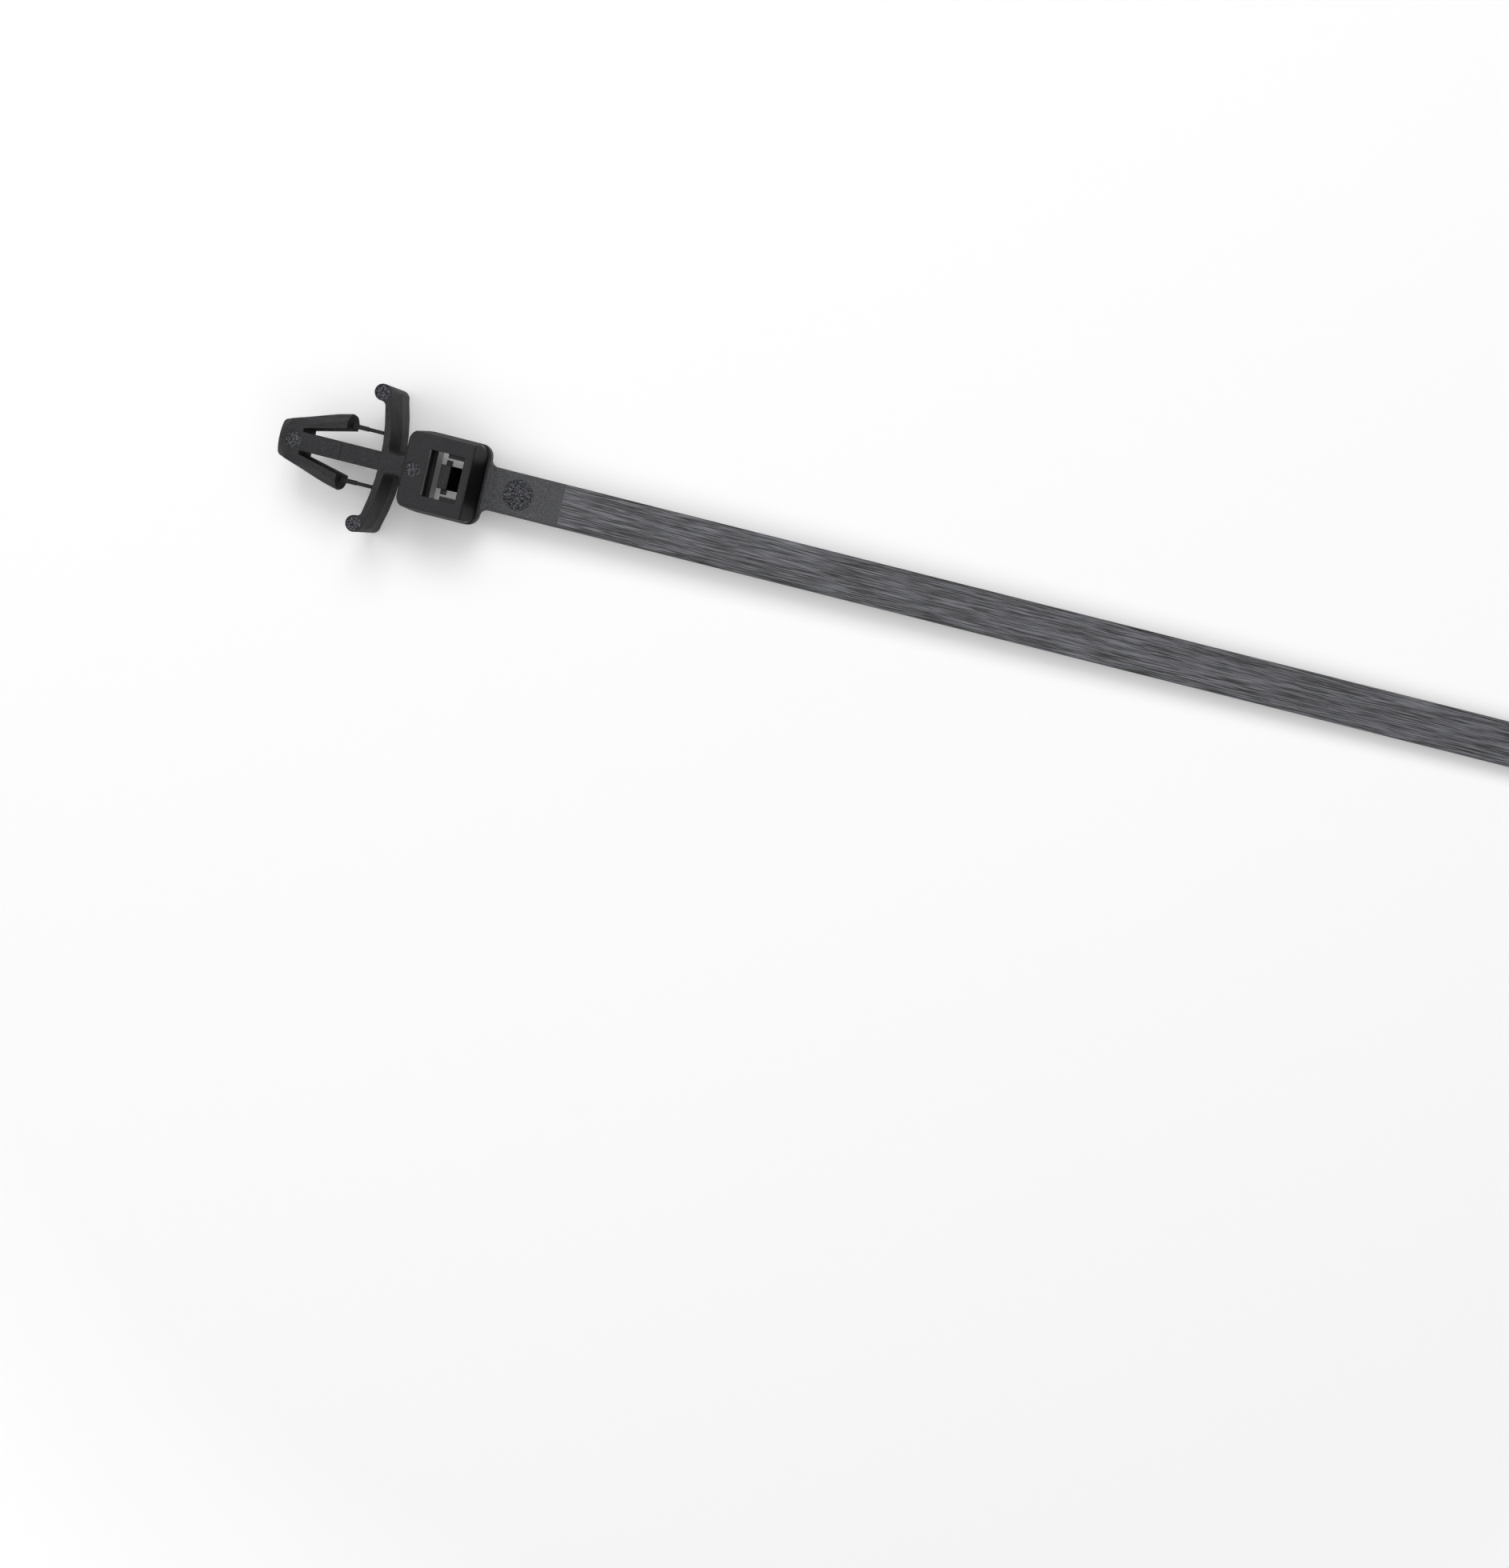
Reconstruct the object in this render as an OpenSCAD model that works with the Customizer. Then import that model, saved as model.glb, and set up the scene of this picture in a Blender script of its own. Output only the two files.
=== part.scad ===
// Push-mount cable tie, moulded in one piece. The arrowhead snaps into a hole in
// a panel, two sprung wings press on the panel, and the strap locks in the head.
// Millimetres. X runs along the strap to its tail, Y across it and Z away from
// the toothed face. The origin is on the arrowhead's axis, where the wing tips
// meet the panel.

/* [Strap] */
// Width of the strap
strap_w = 4.8; // [4.6:0.1:5.2]
// Thickness of the strap over its side rails
strap_t = 1.4; // [1.3:0.05:1.6]
// Length of the strap from the head's shoulders to the tip of the tail
strap_l = 177.4; // [120:0.2:240]
// Rounding of the strap's long edges
strap_edge_r = 0.35; // [0.2:0.05:0.45]
// Width of the rail beside the teeth
rail_w = 0.65; // [0.5:0.05:0.8]
// Depth of the toothed channel below the rails
channel_depth = 0.1; // [0.05:0.05:0.2]
// Distance from the shoulders to the channel's round start
channel_start = 0.9; // [0.5:0.1:1.4]
// Length of the smooth pad between the channel's round start and the teeth
pad_l = 3.4; // [2.4:0.2:5]
// Corner radius at the round start of the channel
channel_end_r = 1.2; // [0.6:0.1:1.6]

/* [Teeth] */
// Distance from one tooth to the next
tooth_pitch = 1.4; // [1.2:0.05:1.8]
// Length of a tooth's flat crest
crest_l = 0.63; // [0.4:0.05:0.7]
// Depth of the gaps below the crests
tooth_depth = 0.5; // [0.35:0.05:0.6]
// Length of the sloped flank on a tooth's tail side
ramp_l = 0.4; // [0.2:0.05:0.45]

/* [Tail] */
// Length of the plain tail without teeth
tail_plain_l = 24; // [18:1:40]
// Length of the tail's taper
taper_l = 12; // [8:1:18]
// Width at the tip of the tail
tip_w = 2.6; // [2:0.1:3.4]

/* [Head] */
// Length of the head's upper face along the strap
head_l = 7.2; // [6.6:0.1:8]
// Width of the head at its base
head_w = 8.9; // [8.2:0.1:9.6]
// Height of the head
head_h = 6.3; // [5.8:0.1:7]
// Radius of the head's upright corners on the arrowhead's side
head_corner_r = 1.7; // [1:0.1:2]
// Radius of the head's upper edges
head_edge_r = 0.4; // [0.3:0.05:0.6]
// Lean of each side wall over the head's height
head_draft = 0.4; // [0.1:0.05:0.5]
// Lean of the head's strap-side wall over its height
head_lean = 0.65; // [0.2:0.05:0.8]
// Fillet radius at the foot of the strap-side wall
foot_r = 0.3; // [0.2:0.05:0.3]
// Radius of the shoulders and of the head's corners on the strap's side
shoulder_r = 1.3; // [1:0.05:1.5]
// Reach of the base beyond the foot of the strap-side wall
base_l = 0.3; // [0.3:0.05:0.6]

/* [Window] */
// Distance from the head's arrow-side wall to the window
window_setback = 2.5; // [2.3:0.1:3]
// Length of the window along the strap
window_l = 3.8; // [3.6:0.1:4]
// Clearance of the window beside the strap, on each side
window_side_gap = 0.1; // [0.05:0.05:0.3]
// Extra width of the window's mouth on each side
mouth_extra = 0.2; // [0.1:0.05:0.4]
// Depth of the widened mouth
mouth_depth = 0.5; // [0.3:0.1:1]
// Width of the step in the window's arrow-side wall
step_w = 0.4; // [0.2:0.05:0.5]
// Depth of the step below the head's upper face
step_depth = 2.8; // [2.2:0.1:3.4]
// Width of the ledge beside the pawl's pit
ledge_w = 0.45; // [0.2:0.05:0.45]
// Length of the ledge along the strap
ledge_l = 1.8; // [1.2:0.1:2]
// Depth of the ledge below the head's upper face
ledge_depth = 0.4; // [0.2:0.05:0.8]

/* [Pawl] */
// Width of the pawl
pawl_w = 2.6; // [2:0.1:2.6]
// Thickness of the pawl's tip
pawl_tip_t = 1.05; // [0.8:0.05:1.2]
// Thickness of the pawl's hinge above the entry face
pawl_hinge_t = 1.1; // [0.8:0.1:1.5]
// Distance from the pawl's tip to the head's upper face
pawl_tip_depth = 1.2; // [0.8:0.1:1.6]
// Clear passage between the pawl's tip and the opposite wall
passage = 1.3; // [1.1:0.05:1.4]
// Height of the pawl's teeth
pawl_tooth_h = 0.3; // [0.2:0.05:0.4]
// Lean of the pawl's toothed face from one tooth to the next
pawl_lean = 0.12; // [0.05:0.01:0.2]
// Reach of the ears beyond the pawl's sides
ear_w = 0.55; // [0.3:0.05:0.55]
// Length of the ears along the strap
ear_l = 0.6; // [0.3:0.05:0.6]
// Height of the ears
ear_h = 0.6; // [0.4:0.05:1]

/* [Lip] */
// Height of the lip below the toothed face, where the wings end too
lip_h = 3.2; // [2.6:0.1:3.8]
// Length of the lip's crest along the strap
lip_crest_l = 1.1; // [0.9:0.1:1.4]
// Radius of the lip's crest edges
lip_edge_r = 0.4; // [0.2:0.05:0.45]

/* [Neck] */
// Length of the neck between the wings and the head
neck_l = 1.8; // [1.4:0.1:2.6]
// Thickness of the neck
neck_w = 2.0; // [1.6:0.1:2.4]
// Fillet radius where the neck meets the wings and the head
neck_fillet_r = 0.5; // [0.2:0.05:0.6]

/* [Wings] */
// Distance between the axes of the two wing tip beads
wing_span = 14.2; // [12:0.2:16]
// Thickness of the wings
wing_t = 0.72; // [0.6:0.02:0.9]
// Radius of the wings' hollow side
wing_bend_r = 24; // [20:1:30]
// Radius of the bead along each wing tip
bead_r = 0.9; // [0.75:0.05:1]
// Thinning of each wing face below the parting line
wing_step = 0.05; // [0.02:0.01:0.1]
// Radius of the hollow between each bead and its wing
bead_fillet_r = 0.55; // [0.3:0.05:0.8]
// Drop of the wings' and the neck's upper edges below the head's upper face
wing_drop = 0.25; // [0.1:0.05:0.35]

/* [Arrowhead] */
// Diameter of the panel hole that the arrowhead fits
hole_d = 6.5; // [6.2:0.1:7]
// Clearance between the closed arrowhead and the hole
hole_gap = 0.26; // [0.1:0.02:0.5]
// Height of the stem and the arrowhead
stem_h = 5.3; // [4.6:0.1:5.6]
// Width of the stem
stem_w = 2.0; // [1.6:0.1:2.2]
// Distance from the panel plane to the nose tip
arrow_l = 9.0; // [8.4:0.1:11]
// Distance from the panel plane to the barbs' ends
barb_gap = 2.1; // [1.6:0.05:3]
// Width over the barbs' free ends
barb_span = 8.4; // [7.8:0.1:8.8]
// Width of the nose
nose_w = 4.0; // [3.6:0.1:4.4]
// Length of the solid nose up to the slots
nose_l = 2.45; // [1.8:0.05:3]
// Radius of the nose's corners
nose_r = 0.5; // [0.3:0.05:0.7]
// Length of the lead-in on the nose's rim
lead_l = 0.9; // [0.5:0.1:1.4]
// Reduction of the nose's radius over the lead-in
lead_drop = 0.7; // [0.4:0.1:1]
// Width of the slots at their closed ends
slot_w = 0.4; // [0.3:0.05:0.6]
// Thickness of the barbs at their free ends
barb_t = 1.75; // [1.4:0.05:1.9]
// Radius of the barbs' outer end corners
barb_end_r = 0.4; // [0.2:0.05:0.6]
// Thickness of the spacer pins on the barbs
pin_t = 0.5; // [0.45:0.05:0.7]
// Thickness of the outer half of the spacer pins
pin_end_t = 0.4; // [0.3:0.05:0.4]
// Length of the spacer pins
pin_l = 3.4; // [2.4:0.1:3.6]

/* [Hidden] */
// Overlap of joined forms, and overshoot of cuts
lap = 0.3;
cut = 1;
// Sides of round forms
round_fn = 48;
small_fn = 24;
// Depth and radii of the ejector and insert marks, and their distances from
// the nose tip, the head's arrow-side wall and the shoulders
mark_depth = 0.06;
nose_mark_r = 0.85;
nose_mark_dx = 1.6;
head_mark_r = 0.8;
head_mark_dx = 1.15;
bead_mark_r = 0.78;
strap_mark_r = 1.65;
strap_mark_dx = 2.95;
insert_mark_r = 3.3;
insert_mark_dx = 3.8;
// Ends of the slightly sunk stretch of the stem, behind the panel plane
stem_step_x = -2.25;
stem_step_end_x = -0.45;
// Corner radius of the tail's tip
tip_corner_r = 0.65;
// Number of teeth on the pawl, and distance from its tip down to the ears
pawl_teeth = 3;
ear_drop = 0.3;

// Heights
top_z = head_h / 2;
under_z = -head_h / 2;
floor_z = under_z - lip_h;
strap_top_z = under_z + strap_t;
wing_top_z = top_z - wing_drop;
parting_z = -stem_h / 2;

// Wings: the bead's axis lies where the bead touches the wing's back from inside
wing_back_r = wing_bend_r + wing_t;
bead_y = wing_span / 2;
bead_orbit_r = wing_back_r - bead_r;
bead_angle = asin(bead_y / bead_orbit_r);
bead_dx = bead_orbit_r * cos(bead_angle) - wing_bend_r;
wing_x = bead_r - bead_dx;
wing_end_y = bead_y + bead_r * sin(bead_angle);

// The circle that hollows out the corner between a bead and its wing touches both
bead_hollow_r = wing_bend_r - bead_fillet_r;
bead_hollow_angle = bead_angle - acos(
    (pow(bead_hollow_r, 2) + pow(bead_orbit_r, 2) - pow(bead_r + bead_fillet_r, 2))
    / (2 * bead_hollow_r * bead_orbit_r));

// Stations along the strap's direction
nose_x = -arrow_l;
slot_x = nose_x + nose_l;
barb_x = -barb_gap;
head_x = wing_x + wing_t + neck_l;
head_top_end_x = head_x + head_l;
head_end_x = head_top_end_x + head_lean;
window_x = head_x + window_setback;
window_end_x = window_x + window_l;
window_w = strap_w + 2 * window_side_gap;
base_end_x = head_end_x + base_l;
shoulder_fillet_r = (head_w - strap_w) / 2 - shoulder_r;
strap_x = base_end_x + shoulder_fillet_r;
tip_x = window_x + passage;
tip_z = top_z - pawl_tip_depth;

// The strap slopes down until its tip is level with the wings' and the lip's
// lower edges, on which the tie lies
droop_angle = asin(lip_h / (strap_l + lap));
channel_w = strap_w - 2 * rail_w;
teeth_start = channel_start + pad_l;
teeth_l = strap_l - tail_plain_l - teeth_start;
// The gaps stop a little short of the channel's side walls
gap_inset = 0.05;
gap_l = tooth_pitch - crest_l;
gap_count = floor(teeth_l / tooth_pitch);

// Arrowhead
closed_r = hole_d / 2 - hole_gap / 2;
open_r = barb_span / 2;
slot_y = stem_w / 2;

// A rectangle that lies centred across Y, from X = 0
module bar_2d(length, width) {
    translate([0, -width / 2]) square([length, width]);
}

// A centred rectangle with round corners
module round_rect_2d(length, width, radius) {
    square([length - 2 * radius, width], center = true);
    square([length, width - 2 * radius], center = true);
    for (sx = [-1, 1], sy = [-1, 1])
        translate([sx * (length / 2 - radius), sy * (width / 2 - radius)])
            circle(radius, $fn = small_fn);
}

// The concave fillet that fills a square inner corner
module fillet_2d(radius) {
    difference() {
        translate([-lap / 2, -lap / 2]) square(radius + lap / 2);
        translate([radius, radius]) circle(radius, $fn = small_fn);
    }
}

// Extrudes a side view, drawn in X and Z, across the part
module across(width) {
    rotate([90, 0, 0]) linear_extrude(width, center = true) children();
}

// Extrudes a cross-section, drawn in Y and Z, along the part
module along(length) {
    rotate([90, 0, 90]) linear_extrude(length) children();
}

// Outline of the strap seen from above, up to its tapered tip
module strap_outline_2d() {
    corner_r = tip_corner_r;
    end_x = strap_l + lap;
    translate([-lap, 0]) bar_2d(end_x - taper_l + lap, strap_w + lap);
    polygon([
        [end_x - taper_l, -strap_w / 2],
        [end_x - corner_r, -tip_w / 2],
        [end_x - corner_r, tip_w / 2],
        [end_x - taper_l, strap_w / 2]
    ]);
    translate([end_x - 2 * corner_r, 0])
        round_rect_2d(4 * corner_r, tip_w, corner_r);
}

// Outline of the toothed channel seen from above
module channel_outline_2d() {
    length = pad_l + teeth_l;
    translate([channel_start + length / 2, 0])
        round_rect_2d(length, channel_w, channel_end_r);
}

// Side view of the gap between two teeth: the ramp is on the head's side of
// the gap, and the steep wall on its other side locks against the pawl
module tooth_gap_2d() {
    top = channel_depth + tooth_depth;
    polygon([
        [0, -cut],
        [0, channel_depth],
        [ramp_l, top],
        [gap_l, top],
        [gap_l, -cut]
    ]);
}

// The strap without its teeth, lying flat with its underside at Z = 0
module strap_blank() {
    intersection() {
        along(strap_l + 2 * lap)
            translate([0, strap_t / 2])
                round_rect_2d(strap_w, strap_t, strap_edge_r);
        translate([0, 0, -cut])
            linear_extrude(strap_t + 2 * cut) strap_outline_2d();
    }
}

module strap_teeth_cut() {
    translate([0, 0, -cut])
        linear_extrude(cut + channel_depth) channel_outline_2d();
    for (i = [0 : gap_count - 1])
        translate([teeth_start + i * tooth_pitch, 0, 0])
            across(channel_w - 2 * gap_inset) tooth_gap_2d();
}

module strap() {
    color("dimgray")
        translate([strap_x - lap, 0, under_z])
            rotate([0, droop_angle, 0])
                difference() {
                    strap_blank();
                    translate([lap, 0, 0]) strap_teeth_cut();
                    translate([lap + strap_mark_dx, 0, strap_t - mark_depth])
                        cylinder(r = strap_mark_r, h = cut, $fn = round_fn);
                }
}

// The head or its base seen from above, up to a station on the strap's side
module head_outline_2d(end_x) {
    near_x = head_x + head_corner_r;
    far_x = end_x - shoulder_r;
    translate([near_x, 0]) bar_2d(far_x - near_x, head_w);
    translate([head_x, 0]) bar_2d(head_corner_r + lap, head_w - 2 * head_corner_r);
    translate([far_x - lap, 0]) bar_2d(shoulder_r + lap, head_w - 2 * shoulder_r);
    for (side = [-1, 1]) {
        translate([near_x, side * (head_w / 2 - head_corner_r)])
            circle(head_corner_r, $fn = round_fn);
        translate([far_x, side * (head_w / 2 - shoulder_r)])
            circle(shoulder_r, $fn = round_fn);
    }
}

// The head seen from the side, with its upper edges rounded
module head_side_2d() {
    radius = head_edge_r;
    far_x = head_top_end_x;
    polygon([
        [head_x, under_z],
        [head_x, top_z - radius],
        [head_x + radius, top_z],
        [far_x - radius, top_z],
        [far_x, top_z - radius],
        [head_end_x, strap_top_z + foot_r],
        [head_end_x, under_z]
    ]);
    translate([head_x + radius, top_z - radius]) circle(radius, $fn = small_fn);
    translate([far_x - radius, top_z - radius]) circle(radius, $fn = small_fn);
}

// The head seen from its end, drawn in Y and Z
module head_end_2d() {
    radius = head_edge_r;
    half_w = head_w / 2 - head_draft;
    polygon([
        [-head_w / 2, under_z],
        [-head_w / 2, strap_top_z],
        [-half_w, top_z - radius],
        [radius - half_w, top_z],
        [half_w - radius, top_z],
        [half_w, top_z - radius],
        [head_w / 2, strap_top_z],
        [head_w / 2, under_z]
    ]);
    for (side = [-1, 1])
        translate([side * (half_w - radius), top_z - radius])
            circle(radius, $fn = small_fn);
}

module head_block() {
    intersection() {
        translate([0, 0, under_z]) linear_extrude(head_h) head_outline_2d(head_end_x);
        across(head_w + cut) head_side_2d();
        translate([head_x - cut, 0, 0])
            along(head_end_x - head_x + 2 * cut) head_end_2d();
    }
}

// The flat base under the head narrows to the strap in two S-shaped shoulders
module shoulders() {
    translate([0, 0, under_z]) linear_extrude(strap_t) {
        head_outline_2d(base_end_x);
        translate([base_end_x - lap, 0])
            bar_2d(strap_x - base_end_x + lap, strap_w);
        for (side = [0, 1]) mirror([0, side])
            translate([base_end_x, strap_w / 2]) fillet_2d(shoulder_fillet_r);
    }
    translate([head_end_x, 0, strap_top_z])
        across(head_w - 2 * shoulder_r) fillet_2d(foot_r);
}

// The lip that steers the strap into the window, seen from the side
module lip_side_2d() {
    crest_x = head_x + lip_crest_l;
    polygon([
        [head_x, under_z + lap],
        [head_x, floor_z + lip_edge_r],
        [head_x + lip_edge_r, floor_z],
        [crest_x - lip_edge_r, floor_z],
        [crest_x, floor_z + lip_edge_r / 2],
        [window_x, under_z],
        [window_x, under_z + lap]
    ]);
    translate([head_x + lip_edge_r, floor_z + lip_edge_r])
        circle(lip_edge_r, $fn = small_fn);
}

module lip() {
    intersection() {
        translate([0, 0, floor_z]) linear_extrude(lip_h + lap)
            head_outline_2d(head_end_x);
        across(head_w + cut) lip_side_2d();
    }
}

module window_cut() {
    translate([window_x, -window_w / 2, under_z - cut])
        cube([window_l, window_w, head_h + 2 * cut]);
    translate([window_x, -window_w / 2 - mouth_extra, under_z - cut])
        cube([window_l, window_w + 2 * mouth_extra, mouth_depth + cut]);
}

// Narrows the window below its arrow-side step, and beside the pawl a little below
// the head's upper face
module ledges() {
    translate([window_x - lap, -window_w / 2 - lap, under_z + mouth_depth])
        cube([step_w + lap, window_w + 2 * lap, head_h - mouth_depth - step_depth]);
    for (side = [0, 1]) mirror([0, side, 0])
        translate([
            window_end_x - ledge_l,
            window_w / 2 - ledge_w,
            under_z + mouth_depth
        ])
            cube([ledge_l + lap, ledge_w + lap, head_h - mouth_depth - ledge_depth]);
}

// Corners of the pawl's teeth, counted down from its tip
function pawl_crest(i) = [tip_x + i * pawl_lean, tip_z - i * tooth_pitch];
function pawl_valley(i) = pawl_crest(i) + [pawl_tooth_h, 0];

// The sprung pawl seen from the side: hinged at the entry face, leaning towards
// the opposite wall, with teeth that catch the strap
module pawl_side_2d() {
    hinge_z = under_z + pawl_hinge_t;
    hinge_x = window_end_x - pawl_hinge_t;
    polygon(concat(
        [[window_end_x + lap, under_z], [hinge_x, under_z]],
        [for (i = [pawl_teeth : -1 : 1]) each [pawl_valley(i), pawl_crest(i - 1)]],
        [
            [tip_x + pawl_tip_t, tip_z],
            [window_end_x - lap, hinge_z],
            [window_end_x + lap, hinge_z]
        ]
    ));
}

module pawl() {
    across(pawl_w) pawl_side_2d();
    translate([
        tip_x + pawl_tip_t - ear_l,
        -pawl_w / 2 - ear_w,
        tip_z - ear_h - ear_drop
    ])
        cube([ear_l, pawl_w + 2 * ear_w, ear_h]);
}

module head() {
    color("gray") {
        difference() {
            union() {
                head_block();
                shoulders();
            }
            window_cut();
            translate([head_x + head_mark_dx, 0, top_z - mark_depth])
                cylinder(r = head_mark_r, h = cut, $fn = round_fn);
            translate([head_x + insert_mark_dx, 0, under_z - cut])
                cylinder(r = insert_mark_r, h = cut + mark_depth, $fn = round_fn);
        }
        ledges();
        pawl();
        lip();
    }
}

// The plate that joins the wings to the head, as deep as the wings
module neck() {
    color("slategray")
        translate([0, 0, floor_z]) linear_extrude(wing_top_z - floor_z) {
            translate([wing_x + wing_t / 2, 0])
                bar_2d(neck_l + wing_t / 2 + lap, neck_w);
            for (side = [0, 1]) mirror([0, side]) {
                translate([wing_x + wing_t, neck_w / 2]) fillet_2d(neck_fillet_r);
                translate([head_x, neck_w / 2])
                    mirror([1, 0]) fillet_2d(neck_fillet_r);
            }
        }
}

// Both wings seen from above, each face moved in by a step
module wings_2d(step) {
    intersection() {
        translate([wing_x - wing_bend_r, 0]) difference() {
            circle(wing_back_r - step, $fn = 6 * round_fn);
            circle(wing_bend_r + step, $fn = 6 * round_fn);
        }
        translate([0, -wing_end_y]) square([wing_x + wing_t, 2 * wing_end_y]);
    }
}

// The hollow corner between the upper bead and its wing, filled with a fillet
module bead_fillet_2d() {
    wing_centre = [wing_x - wing_bend_r, 0];
    direction = [cos(bead_hollow_angle), sin(bead_hollow_angle)];
    hollow = wing_centre + bead_hollow_r * direction;
    difference() {
        polygon([
            [wing_x + bead_dx, bead_y],
            hollow,
            wing_centre + (wing_bend_r + wing_t / 2) * direction
        ]);
        translate(hollow) circle(bead_fillet_r, $fn = small_fn);
    }
}

module wings() {
    color("darkslategray") difference() {
        union() {
            translate([0, 0, parting_z])
                linear_extrude(wing_top_z - parting_z) wings_2d(0);
            translate([0, 0, floor_z])
                linear_extrude(parting_z - floor_z + lap) wings_2d(wing_step);
            for (side = [0, 1]) mirror([0, side, 0])
                translate([0, 0, floor_z]) linear_extrude(wing_top_z - floor_z) {
                    translate([wing_x + bead_dx, bead_y])
                        circle(bead_r, $fn = round_fn);
                    bead_fillet_2d();
                }
        }
        for (side = [-1, 1])
            translate([wing_x + bead_dx, side * bead_y, wing_top_z - mark_depth])
                cylinder(r = bead_mark_r, h = cut, $fn = round_fn);
    }
}

// The stem, the nose and one barb, seen from above
module barb_2d() {
    end_y = barb_span / 2;
    polygon([
        [nose_x, 0],
        [nose_x, nose_w / 2 - nose_r],
        [nose_x + nose_r, nose_w / 2],
        [barb_x - barb_end_r, end_y],
        [barb_x, end_y - barb_end_r],
        [barb_x, end_y - barb_t],
        [slot_x, slot_y + slot_w],
        [slot_x, 0]
    ]);
    translate([nose_x + nose_r, nose_w / 2 - nose_r])
        circle(nose_r, $fn = small_fn);
    translate([barb_x - barb_end_r, end_y - barb_end_r])
        circle(barb_end_r, $fn = small_fn);
}

module stem_2d() {
    translate([nose_x + nose_r, 0])
        bar_2d(wing_x + wing_t / 2 - nose_x - nose_r, stem_w);
}

// The round form of the arrowhead: the closed part slides into the hole, and
// the barbs flare past it
module arrow_envelope() {
    rotate([0, 90, 0]) rotate_extrude($fn = 2 * round_fn)
        polygon([
            [0, nose_x],
            [closed_r - lead_drop, nose_x],
            [closed_r, nose_x + lead_l],
            [closed_r, slot_x],
            [open_r, barb_x],
            [0, barb_x]
        ]);
}

// Thin pins that keep each barb clear of the wing when it folds in
module spacer_pins() {
    pin_y = barb_span / 2 - barb_t + pin_t;
    for (side = [-1, 1]) {
        translate([barb_x - lap, side * pin_y - pin_t / 2, -pin_t / 2])
            cube([pin_l / 2 + lap, pin_t, pin_t]);
        translate([barb_x, side * pin_y - pin_end_t / 2, -pin_end_t / 2])
            cube([pin_l, pin_end_t, pin_end_t]);
    }
}

module arrowhead() {
    color("silver") difference() {
        union() {
            intersection() {
                linear_extrude(stem_h, center = true)
                    for (side = [0, 1]) mirror([0, side]) barb_2d();
                arrow_envelope();
            }
            linear_extrude(stem_h, center = true) stem_2d();
            spacer_pins();
        }
        translate([nose_x + nose_mark_dx, 0, stem_h / 2 - mark_depth])
            cylinder(r = nose_mark_r, h = cut, $fn = round_fn);
        translate([stem_step_x, -stem_w, stem_h / 2 - mark_depth])
            cube([stem_step_end_x - stem_step_x, 2 * stem_w, cut]);
    }
}

module cable_tie() {
    union() {
        arrowhead();
        wings();
        neck();
        head();
        strap();
    }
}

cable_tie();
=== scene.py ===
# %% [markdown]
# # A push-mount cable tie
# The tie is one moulding of black nylon: an arrowhead that snaps into a panel, two
# sprung wings, a ratchet head and a toothed strap. Its form comes from the packed
# CAD model, which is loaded here as a fixed frame. Everything is in metres, with X
# along the strap, Z up from the toothed face and the origin where the wing tips
# meet the panel. The box of the CAD model is printed.

# %% Load the frame
from math import radians

import bmesh
import bpy
from mathutils import Matrix, Vector


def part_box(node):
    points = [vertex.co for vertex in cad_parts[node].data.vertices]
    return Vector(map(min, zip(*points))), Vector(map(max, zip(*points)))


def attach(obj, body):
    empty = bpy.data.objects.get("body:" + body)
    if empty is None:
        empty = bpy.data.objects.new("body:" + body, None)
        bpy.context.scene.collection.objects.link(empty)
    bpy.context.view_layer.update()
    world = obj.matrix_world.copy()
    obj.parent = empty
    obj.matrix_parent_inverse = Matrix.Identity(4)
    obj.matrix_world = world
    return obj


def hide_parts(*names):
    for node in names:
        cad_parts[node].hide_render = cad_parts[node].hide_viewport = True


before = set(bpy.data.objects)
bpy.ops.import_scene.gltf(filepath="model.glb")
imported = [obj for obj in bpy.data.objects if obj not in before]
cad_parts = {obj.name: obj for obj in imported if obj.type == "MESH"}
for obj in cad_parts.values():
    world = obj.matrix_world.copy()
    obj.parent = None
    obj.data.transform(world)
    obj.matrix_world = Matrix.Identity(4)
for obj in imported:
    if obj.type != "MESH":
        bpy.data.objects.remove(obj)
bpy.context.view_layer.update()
MM = 0.001
low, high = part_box("cable_tie")
print("CAD box in mm:", [round(value / MM, 2) for value in (*low, *high)])

# %% [markdown]
# ## Camera
# The picture looks down on the tie from a little behind its arrowhead. The camera
# is placed from known points of the tie, so that the tie falls on the same pixels
# as in the picture, which is 1886 by 1960 pixels. The rows below are the camera's
# turn: its columns are the camera's right, up and backward directions.

# %% Camera
camera_data = bpy.data.cameras.new("camera")
camera_data.sensor_width = 36
camera_data.lens = 48.138
camera_data.clip_start = 0.005
camera_data.clip_end = 20
camera = bpy.data.objects.new("camera", camera_data)
bpy.context.scene.collection.objects.link(camera)
turn = Matrix((
    (0.96925, -0.24555, 0.01604),
    (0.24220, 0.96349, 0.11412),
    (-0.04348, -0.10673, 0.99334),
)).to_4x4()
camera.matrix_world = Matrix.Translation(Vector((52.72, 1.99, 225.96)) * MM) @ turn
bpy.context.scene.camera = camera
print("camera in mm:", tuple(round(value / MM, 1) for value in camera.location))

# %% [markdown]
# ## Helpers
# Colours are written as sRGB hex values, as a picture shows them, and one function
# turns them linear, which is what the shaders need. One more function adds a node,
# sets its fields and connects or fills its inputs, so that a material reads like a
# list of its nodes.

# %% Colour and node helpers
def colour(hex_value):
    """An sRGB hex colour as linear RGBA."""
    parts = [int(hex_value[i:i + 2], 16) / 255 for i in (1, 3, 5)]
    linear = [p / 12.92 if p <= 0.04045 else ((p + 0.055) / 1.055) ** 2.4 for p in parts]
    return (*linear, 1.0)


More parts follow.
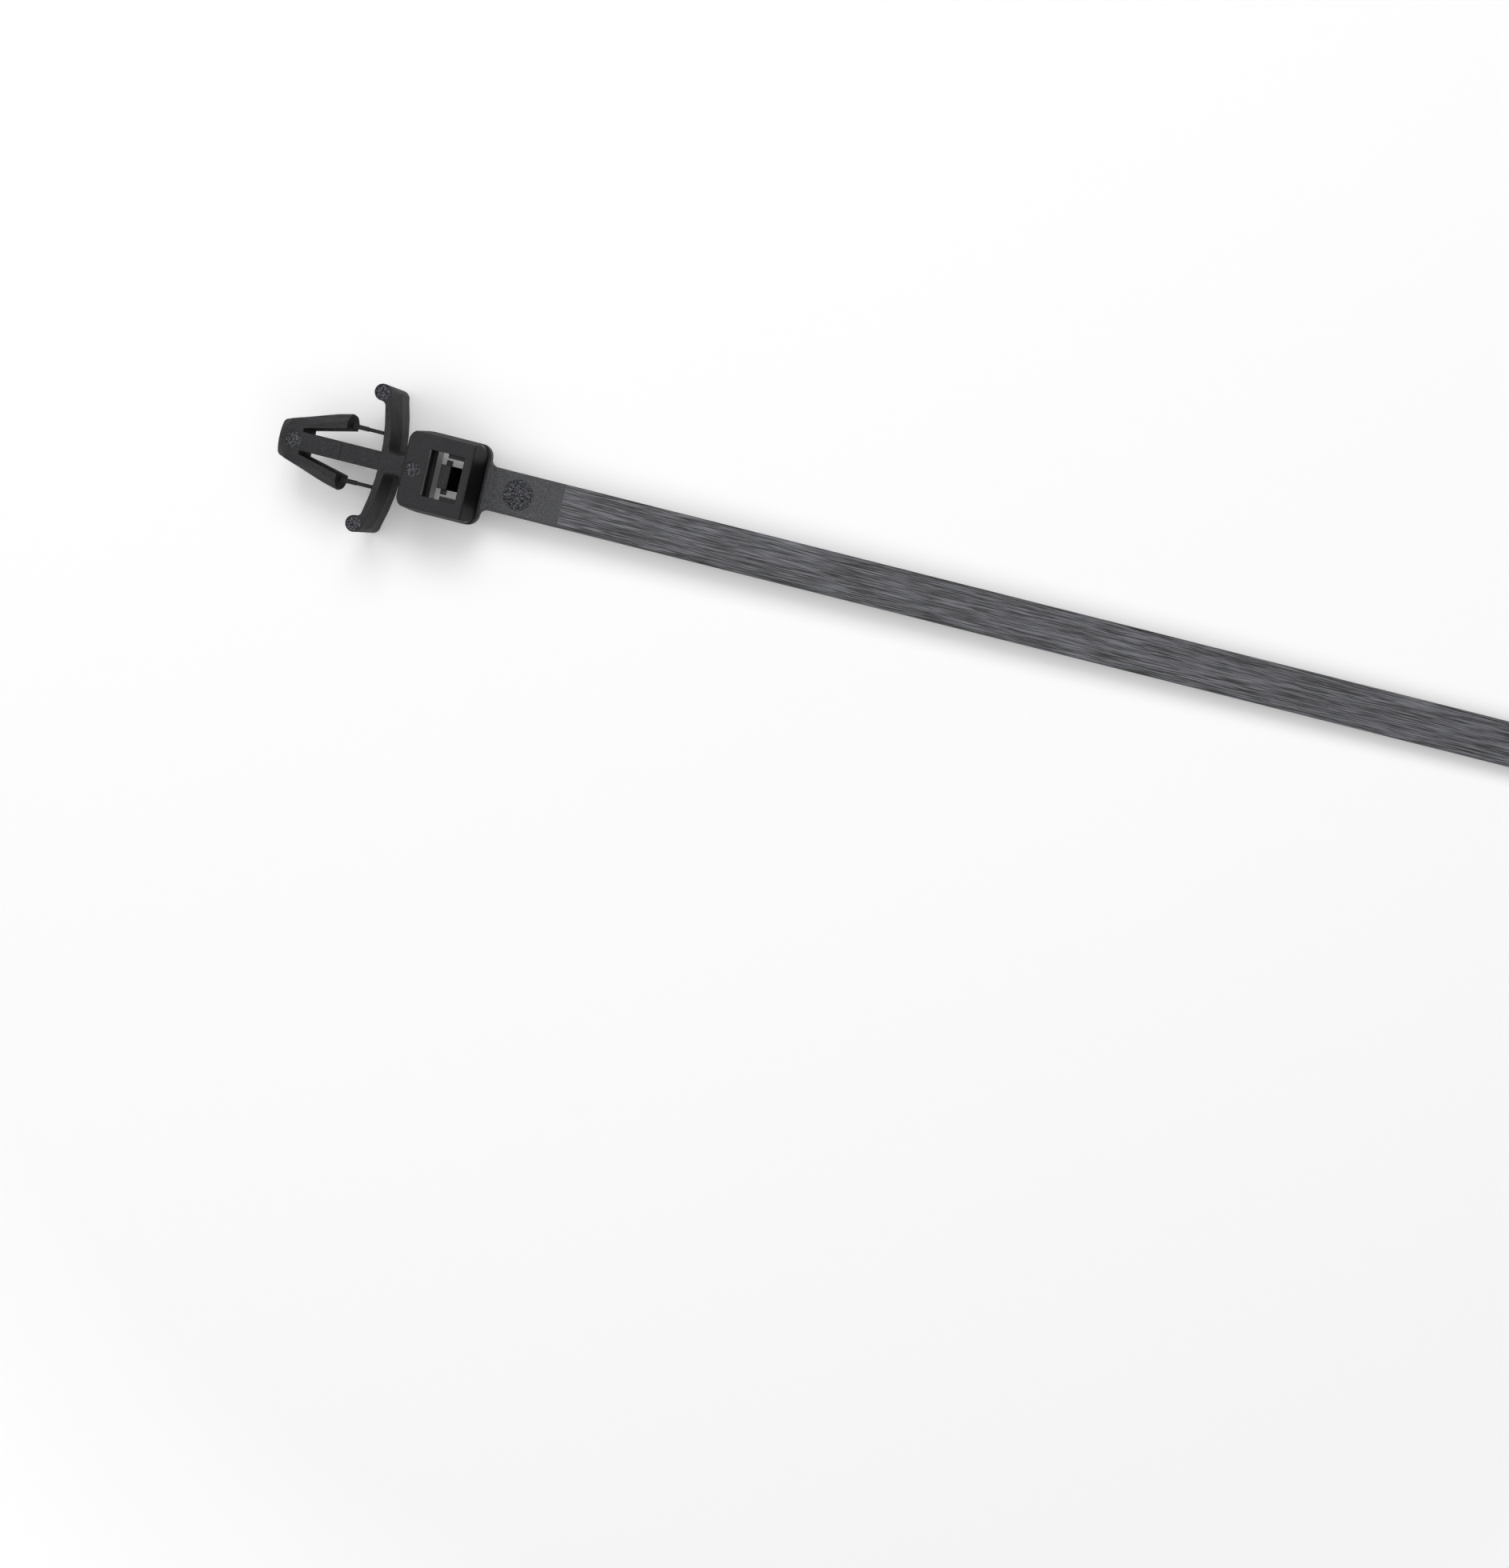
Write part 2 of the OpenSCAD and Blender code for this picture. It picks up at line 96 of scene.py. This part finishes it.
def add_node(tree, kind, inputs=None, **fields):
    """Adds a node. Each input takes a value or the output that feeds it."""
    node = tree.nodes.new(kind)
    for name, value in fields.items():
        setattr(node, name, value)
    for name, value in (inputs or {}).items():
        if isinstance(value, bpy.types.NodeSocket):
            tree.links.new(value, node.inputs[name])
        else:
            node.inputs[name].default_value = value
    return node


def new_material(name):
    """An empty node material, its tree and its output node."""
    material = bpy.data.materials.new(name)
    material.use_nodes = True
    material.node_tree.nodes.clear()
    output = material.node_tree.nodes.new("ShaderNodeOutputMaterial")
    return material, material.node_tree, output


print("black nylon, linear:", [round(part, 4) for part in colour("#151619")])

# %% [markdown]
# ## The moulding
# The CAD mesh is loose triangles, and it isn't changed. A copy of it is merged, and
# its flat areas become single faces, which lets the finishes be told apart face by
# face. The copy stands for the CAD part in the render.

# %% Copy and merge the moulding
WELD = 1e-7
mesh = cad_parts["cable_tie"].data.copy()
mesh.name = "moulded_tie"
tie = bpy.data.objects.new("moulded_tie", mesh)
bpy.context.scene.collection.objects.link(tie)
bm = bmesh.new()
bm.from_mesh(mesh)
bmesh.ops.remove_doubles(bm, verts=bm.verts, dist=WELD)
bmesh.ops.dissolve_limit(
    bm, angle_limit=radians(0.5), use_dissolve_boundaries=False,
    verts=bm.verts, edges=bm.edges, delimit=set())
print("faces after merging:", len(bm.faces))

# %% [markdown]
# ## Black nylon
# The tie is polyamide 6.6, injection moulded in black. Nylon has an index of
# refraction of 1.53. Its colour is nearly black, so what the eye sees is mostly the
# soft reflection of the room, and the surface decides how wide that reflection is.
# A rough mould leaves pits that swallow light, so those finishes get a lower
# specular level than the usual 0.5.
#
# A real moulding has no knife edges: the cutter leaves a small radius in the mould.
# The edges between the teeth are too close for a bevel in the mesh, so the shader
# rounds every edge by the same small radius.

# %% Nylon shader
EDGE_RADIUS = 0.16 * MM


def nylon(kit, base, roughness, height, height_mm, shine):
    """Finishes a nylon material from the outputs that carry its pattern."""
    material, tree, output = kit
    edge = add_node(tree, "ShaderNodeBevel", {"Radius": EDGE_RADIUS}, samples=8)
    bump = add_node(tree, "ShaderNodeBump", {
        "Height": height, "Strength": 1.0, "Distance": height_mm * MM,
        "Normal": edge.outputs["Normal"]})
    shader = add_node(tree, "ShaderNodeBsdfPrincipled", {
        "Base Color": base, "IOR": 1.53, "Roughness": roughness,
        "Specular IOR Level": shine, "Normal": bump.outputs["Normal"]})
    tree.links.new(shader.outputs["BSDF"], output.inputs["Surface"])
    return material


print("edge radius in mm:", round(EDGE_RADIUS / MM, 3))

# %% [markdown]
# ## Moulded finishes
# The mould is spark-eroded, which leaves a fine grain of pits and tops. One noise of
# the grain's size gives the bump and the colour: the tops are painted pale as glints
# and the pits painted dark as shade, over the grain's own tone. A second, wider noise
# varies the gloss a little from place to place, as handling does.

# %% Grain of a moulded surface
CLOUD_MM = 1.6
GLOSS_SPREAD = 0.05


def moulded_nylon(name, dark, pale, roughness, grain_mm, height_mm, shine):
    """Black nylon with a grain of a real size, its tops painted pale as glints and its
    pits dark as shade.
    """
    kit = new_material(name)
    tree = kit[1]
    place = add_node(tree, "ShaderNodeTexCoord").outputs["Object"]
    grain = add_node(tree, "ShaderNodeTexNoise", {
        "Vector": place, "Scale": 1 / (grain_mm * MM), "Detail": 3.0, "Roughness": 0.6})
    # Pale tops are painted glints and dark pits are painted shade, over the grain's own
    # tone.
    grain_and_painted_sheen = add_node(tree, "ShaderNodeValToRGB", {"Fac": grain.outputs["Fac"]})
    grain_and_painted_sheen.color_ramp.elements[0].position = 0.44
    grain_and_painted_sheen.color_ramp.elements[0].color = colour(dark)
    grain_and_painted_sheen.color_ramp.elements[1].position = 0.61
    grain_and_painted_sheen.color_ramp.elements[1].color = colour(pale)
    cloud = add_node(tree, "ShaderNodeTexNoise", {
        "Vector": place, "Scale": 1 / (CLOUD_MM * MM), "Detail": 3.0,
        "Roughness": 0.55})
    gloss = add_node(tree, "ShaderNodeMapRange", {
        "Value": cloud.outputs["Fac"], "From Min": 0.3, "From Max": 0.7,
        "To Min": roughness - GLOSS_SPREAD, "To Max": roughness + GLOSS_SPREAD})
    return nylon(
        kit, grain_and_painted_sheen.outputs["Color"], gloss.outputs["Result"], grain.outputs["Fac"],
        height_mm, shine)


print("gloss varies over", CLOUD_MM, "mm")

# %% Grained and stippled finishes
# The real grain is about 0.05 mm, which is less than a pixel. It is drawn coarser,
# so that it can be seen.
GRAIN_MM = 0.09
STIPPLE_MM = 0.16
grained = moulded_nylon(  # spark-eroded outside of the head, stem and arrowhead
    "nylon_spark_eroded", dark="#060607", pale="#2c2d30",
    roughness=0.6, grain_mm=GRAIN_MM, height_mm=0.08, shine=0.25)
satin = moulded_nylon(  # the finer insert at the start of the strap, more satin
    "nylon_fine_eroded", dark="#0b0c0d", pale="#4c4d52",
    roughness=0.45, grain_mm=GRAIN_MM, height_mm=0.08, shine=0.42)
# The stipple's pale tops are painted glints.
stippled = moulded_nylon(  # rough ends of the ejector pins, with glinting tops
    "nylon_ejector_stipple", dark="#030304", pale="#6a6b71",
    roughness=0.4, grain_mm=STIPPLE_MM, height_mm=0.25, shine=0.2)
print("grain", GRAIN_MM, "mm, ejector stipple", STIPPLE_MM, "mm")

# %% Finishes of the walls, with painted shade
# Upright walls slide along the steel as the tie leaves the mould, so their pattern
# is flatter than that of the top. The outer walls and the head's wall above the strap
# get darker colours than the top, which is painted shade.
# Its darker colours are painted shade on the outer walls.
shaded_coarse = moulded_nylon(  # outer walls, deep and matt
    "nylon_coarse_eroded_shaded", dark="#040405", pale="#131416",
    roughness=0.7, grain_mm=0.16, height_mm=0.02, shine=0.2)
# Its near-black colour and very low specular level are painted shade.
smooth = moulded_nylon(  # the head's wall above the strap, nearly without a glint
    "nylon_smooth_wall_shaded", dark="#010101", pale="#040405",
    roughness=0.4, grain_mm=0.2, height_mm=0.01, shine=0.05)
polished = moulded_nylon(  # the window, made by a polished core
    "nylon_polished_core", dark="#0a0b0c", pale="#121315",
    roughness=0.1, grain_mm=0.5, height_mm=0.002, shine=0.6)
print("walls:", shaded_coarse.name, smooth.name, polished.name)

# %% [markdown]
# ## Ground strap
# The long strap cavity is ground lengthwise, so the strap shows fine scratches along
# X. A noise that is stretched 10 mm along the strap and 0.09 mm across it makes
# them, and a wider, fainter one gathers them into soft bands. Their pale colour is
# painted sheen, the light that the scratches would reflect. Real scratches are
# about half as wide; these are drawn so that they can be seen.

# %% Brushed nylon of the strap, with painted sheen
STREAK_MM = (10, 0.09)
BAND_MM = (12, 0.7)


def brushed_sheen_nylon(name, dark, pale, roughness, height_mm, shine):
    """Black nylon with long fine scratches along X, painted pale as sheen."""
    kit = new_material(name)
    tree = kit[1]
    place = add_node(tree, "ShaderNodeTexCoord").outputs["Object"]
    noises = []
    for (along, across), detail, roughen in ((STREAK_MM, 3.0, 0.65), (BAND_MM, 2.0, 0.5)):
        stretch = add_node(tree, "ShaderNodeMapping", {
            "Vector": place,
            "Scale": (1 / (along * MM), 1 / (across * MM), 1 / (across * MM))})
        noises.append(add_node(tree, "ShaderNodeTexNoise", {
            "Vector": stretch.outputs["Vector"], "Scale": 1.0, "Detail": detail,
            "Roughness": roughen}).outputs["Fac"])
    streak, band = noises
    both = add_node(tree, "ShaderNodeMath", {0: band, 1: 0.12, 2: streak},
                    operation="MULTIPLY_ADD")
    # The pale streaks are painted sheen.
    grain_and_painted_sheen = add_node(tree, "ShaderNodeValToRGB", {"Fac": both.outputs["Value"]})
    grain_and_painted_sheen.color_ramp.elements[0].position = 0.5
    grain_and_painted_sheen.color_ramp.elements[0].color = colour(dark)
    grain_and_painted_sheen.color_ramp.elements[1].position = 0.66
    grain_and_painted_sheen.color_ramp.elements[1].color = colour(pale)
    gloss = add_node(tree, "ShaderNodeMapRange", {
        "Value": streak, "From Min": 0.3, "From Max": 0.7,
        "To Min": roughness + 0.08, "To Max": roughness - 0.08})
    return nylon(
        kit, grain_and_painted_sheen.outputs["Color"], gloss.outputs["Result"], streak, height_mm, shine)


brushed_and_sheen = brushed_sheen_nylon(
    "nylon_ground_painted_sheen", dark="#060607", pale="#6f7076",
    roughness=0.36, height_mm=0.03, shine=0.27)
print("scratches in mm, along and across:", STREAK_MM)

# %% [markdown]
# ## Which face gets which finish
# In the mould, the grained insert meets the ground strap cavity in a straight line
# across the strap. A cut through the mesh makes that border clean. The other finishes
# follow faces of the mesh, so each face is sorted by its place and by whether it
# stands upright.

# %% Cut the border of the ground strap
GRAIN_END = 21.4 * MM
bmesh.ops.bisect_plane(
    bm, geom=list(bm.verts) + list(bm.edges) + list(bm.faces),
    plane_co=(GRAIN_END, 0, 0), plane_no=(1, 0, 0), dist=WELD)
print("faces with the border:", len(bm.faces))

# %% Places of the finishes
WINGS_END = 3 * MM
WINDOW = (7.0 * MM, 11.2 * MM)
WINDOW_HALF_WIDTH = 2.8 * MM
STRAP_WALL = 11.3 * MM
SATIN_START = 13 * MM
HEAD_END = 14 * MM
PARTING = -2.7 * MM  # below it the wings are grained again
MARKS_ABOVE = -2 * MM
EJECTOR_MARKS = (  # x, y and radius in mm
    (-7.4, 0, 0.85),   # nose
    (5.83, 0, 0.8),    # head
    (16.53, 0, 1.65),  # strap
    (0.9, 7.1, 0.78),  # wing tips
    (0.9, -7.1, 0.78),
)
# Each finish by its number in the list of materials that the moulding gets below.
GRAINED, STIPPLED, BRUSHED_SHEEN, POLISHED, SATIN, COARSE_SHADED, SMOOTH_SHADED = range(7)
print("ejector marks:", len(EJECTOR_MARKS))


# %% Sort a face
def on_ejector_mark(face):
    """True where the whole face lies within one of the marks."""
    for x, y, radius in EJECTOR_MARKS:
        reach = [Vector((v.co.x - x * MM, v.co.y - y * MM)).length for v in face.verts]
        if max(reach) < (radius + 0.05) * MM:
            return True
    return False


def finish_of(face):
    """The number of the finish that a face gets."""
    centre = face.calc_center_median()
    upright = abs(face.normal.z) < 0.5  # steeper than 60 degrees
    in_window = abs(centre.y) < WINDOW_HALF_WIDTH and WINDOW[0] < centre.x < WINDOW[1]
    if upright and centre.x < WINGS_END and centre.z < PARTING:
        return GRAINED
    if upright and centre.x < HEAD_END:
        faces_strap = centre.x > STRAP_WALL and face.normal.x > 0.5
        return POLISHED if in_window else SMOOTH_SHADED if faces_strap else COARSE_SHADED
    open_top = not upright and not in_window and centre.z > MARKS_ABOVE
    if open_top and on_ejector_mark(face):
        return STIPPLED
    if centre.x > GRAIN_END:
        return BRUSHED_SHEEN
    return SATIN if centre.x > SATIN_START else GRAINED


for face in bm.faces:
    face.smooth = True
    face.material_index = finish_of(face)
print("stippled discs:", sum(face.material_index == STIPPLED for face in bm.faces))

# %% [markdown]
# ## Edges and shading
# An edge sharper than 35 degrees stays an edge, and rounder ones are shaded as one
# surface. The normals lean towards the larger faces, so that flat areas stay flat up
# to their rounded borders.

# %% Finish the moulding
SHARP = radians(35)
for edge in bm.edges:
    edge.smooth = edge.is_manifold and edge.calc_face_angle() < SHARP
open_edges = sum(not edge.is_manifold for edge in bm.edges)
print("open edges:", open_edges, "faces:", len(bm.faces))
# The slots are filled first: clearing them later would set every face back to slot 0.
mesh.materials.clear()
for material in (grained, stippled, brushed_and_sheen, polished, satin, shaded_coarse, smooth):
    mesh.materials.append(material)
bm.to_mesh(mesh)
bm.free()
flat_first = tie.modifiers.new("flat_faces_first", "WEIGHTED_NORMAL")
flat_first.mode = "FACE_AREA"
flat_first.weight = 80
flat_first.keep_sharp = True
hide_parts("cable_tie")
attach(tie, "root")

# %% [markdown]
# ## White paper
# The tie lies on a white sheet under a wide soft light. The floor is a pale matt
# plane that keeps the soft shadow. It glows a little for the rays that show a
# background, so that it reads as white paper without more light on the tie. The
# glow grows with the distance, so that the far floor runs into the white world
# without a horizon.

# %% Rays that show the background
def background_rays(tree):
    """1 for the camera's rays and for those in gloss and glass, 0 for the rest."""
    ray = add_node(tree, "ShaderNodeLightPath")
    shiny = add_node(tree, "ShaderNodeMath", {
        0: ray.outputs["Is Glossy Ray"], 1: ray.outputs["Is Transmission Ray"]},
        operation="MAXIMUM")
    either = add_node(tree, "ShaderNodeMath", {
        0: ray.outputs["Is Camera Ray"], 1: shiny.outputs["Value"]},
        operation="MAXIMUM")
    return either.outputs["Value"]


print("background rays: camera, glossy and transmission")

# %% Floor
FLOOR_HALF = 1.5
FLOOR_CENTRE = (0.06, 0, -6.35 * MM)  # the wing tips' lowest edge
floor_bm = bmesh.new()
bmesh.ops.create_grid(floor_bm, x_segments=1, y_segments=1, size=FLOOR_HALF)
bmesh.ops.translate(floor_bm, verts=floor_bm.verts, vec=FLOOR_CENTRE)
floor_mesh = bpy.data.meshes.new("floor")
floor_bm.to_mesh(floor_mesh)
floor_bm.free()
floor = bpy.data.objects.new("floor", floor_mesh)
bpy.context.scene.collection.objects.link(floor)
print("floor at", FLOOR_CENTRE[2] / MM, "mm")

# %% Paper of the floor
GLOW_FROM, GLOW_TO = 0.12, 0.5
paper, tree, output = new_material("white_paper")
place = add_node(tree, "ShaderNodeTexCoord").outputs["Object"]
reach = add_node(tree, "ShaderNodeVectorMath", {
    0: place, 1: FLOOR_CENTRE}, operation="DISTANCE")
near = add_node(tree, "ShaderNodeMapRange", {
    "Value": reach.outputs["Value"], "From Min": GLOW_FROM, "From Max": GLOW_TO,
    "To Min": 0.15, "To Max": 1.0})
glow = add_node(tree, "ShaderNodeMath", {
    0: near.outputs["Result"], 1: background_rays(tree)}, operation="MULTIPLY")
sheet = add_node(tree, "ShaderNodeBsdfPrincipled", {
    "Base Color": colour("#f4f4f4"), "Roughness": 0.9,
    "Emission Color": (1, 1, 1, 1), "Emission Strength": glow.outputs["Value"]})
tree.links.new(sheet.outputs["BSDF"], output.inputs["Surface"])
floor_mesh.materials.append(paper)
print("the glow grows from", GLOW_FROM, "to", GLOW_TO, "m")

# %% [markdown]
# ## World and lamps
# The world is plain white where it is seen, and nearly dark as a light, so that the
# lamps alone shape the tie. A wide lamp straight above gives the even light of a
# light tent. A smaller one behind the tie draws the shadow under the strap, and a
# faint one beyond the arrowhead lifts the walls on that side.

# %% White world
world = bpy.data.worlds.new("studio")
world.use_nodes = True
world.node_tree.nodes.clear()
bpy.context.scene.world = world
tree = world.node_tree
strength = add_node(tree, "ShaderNodeMapRange", {
    "Value": background_rays(tree), "To Min": 0.05, "To Max": 1.0})
sky = add_node(tree, "ShaderNodeBackground", {
    "Color": (1, 1, 1, 1), "Strength": strength.outputs["Result"]})
add_node(tree, "ShaderNodeOutputWorld", {"Surface": sky.outputs["Background"]})
print("world:", world.name)


# %% Lamps
def soft_lamp(name, location_mm, target_mm, size_mm, watts):
    """A square area lamp that faces a point."""
    data = bpy.data.lights.new(name, "AREA")
    data.shape = "SQUARE"
    data.size = size_mm * MM
    data.energy = watts
    lamp = bpy.data.objects.new(name, data)
    bpy.context.scene.collection.objects.link(lamp)
    lamp.location = Vector(location_mm) * MM
    aim = Vector(target_mm) * MM - lamp.location
    lamp.rotation_euler = aim.to_track_quat("-Z", "Y").to_euler()
    print(name, "lamp:", watts, "W,", size_mm, "mm wide")


HEAD_MM = (20, 0, 0)
soft_lamp("overhead", (0, 0, 850), (0, 0, 0), 1500, 7.6)
soft_lamp("key", (0, 350, 550), HEAD_MM, 300, 1.3)
soft_lamp("side", (-450, 0, 450), HEAD_MM, 420, 0.7)

# %% [markdown]
# ## View and finish
# The Standard view shows a colour as it is written.

# %% Standard view
bpy.context.scene.view_settings.view_transform = "Standard"
